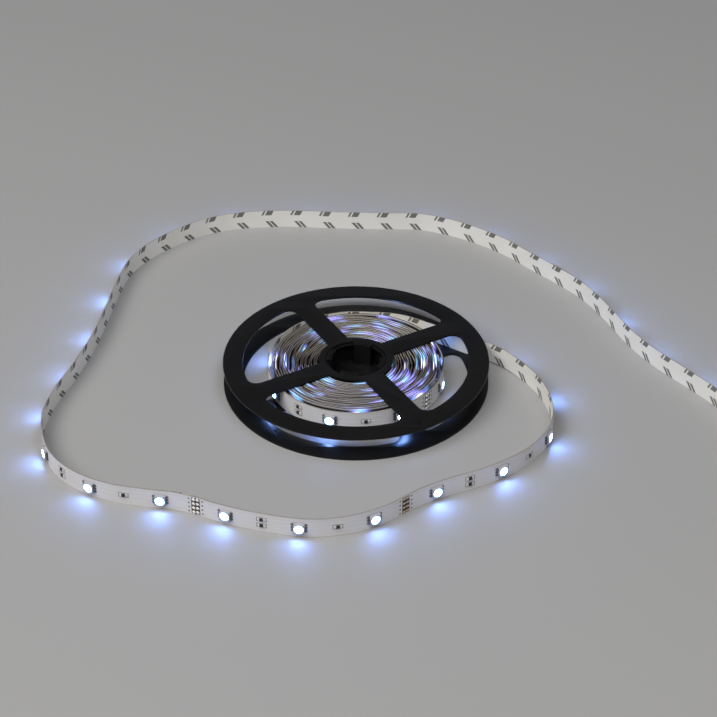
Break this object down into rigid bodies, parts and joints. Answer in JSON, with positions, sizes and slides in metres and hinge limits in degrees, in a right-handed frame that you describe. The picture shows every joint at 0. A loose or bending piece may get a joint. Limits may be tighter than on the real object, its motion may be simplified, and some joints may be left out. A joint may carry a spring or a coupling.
{
  "type": "led strip light reel",
  "caption": "Flexible LED tape on a flat plastic reel with windowed flanges; part of the tape is unrolled and stands on edge in a loose loop round the reel.",
  "frame": {"origin": "on the reel's axis, in the plane that the lower flange and the unrolled tape stand on", "axes": "+Z along the reel's axis, up from the lower flange to the upper one; +X towards the side where the tape's cut end lies; +Y away from the viewer of the picture"},
  "size_m": [0.3371, 0.2609, 0.0124],
  "materials": {
    "reel_plastic": "satin moulded black plastic",
    "strip_mask": "white solder mask on flexible circuit film, copper brown at its edges",
    "liner_paper": "waxed release paper",
    "led_housing": "white LED housing with a round lens, lit cool white"
  },
  "bodies": {
    "root": {"lower_reel_half": "reel_plastic", "upper_reel_half": "reel_plastic", "strip_roll": "strip_mask", "release_liner": "liner_paper", "strip_length_1": "strip_mask", "strip_length_2": "strip_mask", "strip_length_3": "strip_mask", "led_1": "led_housing", "led_2": "led_housing", "led_3": "led_housing", "led_4": "led_housing", "led_5": "led_housing", "led_6": "led_housing", "led_7": "led_housing", "led_8": "led_housing", "led_9": "led_housing", "led_10": "led_housing", "led_11": "led_housing", "led_12": "led_housing", "led_13": "led_housing", "led_14": "led_housing", "led_15": "led_housing", "led_16": "led_housing", "led_17": "led_housing", "led_18": "led_housing", "led_19": "led_housing", "led_20": "led_housing", "led_21": "led_housing", "led_22": "led_housing", "led_23": "led_housing", "led_24": "led_housing", "led_25": "led_housing", "led_26": "led_housing", "led_27": "led_housing", "led_28": "led_housing", "led_29": "led_housing", "led_30": "led_housing", "led_31": "led_housing", "led_32": "led_housing", "led_33": "led_housing", "led_34": "led_housing", "led_35": "led_housing", "led_36": "led_housing"}
  },
  "joints": []
}
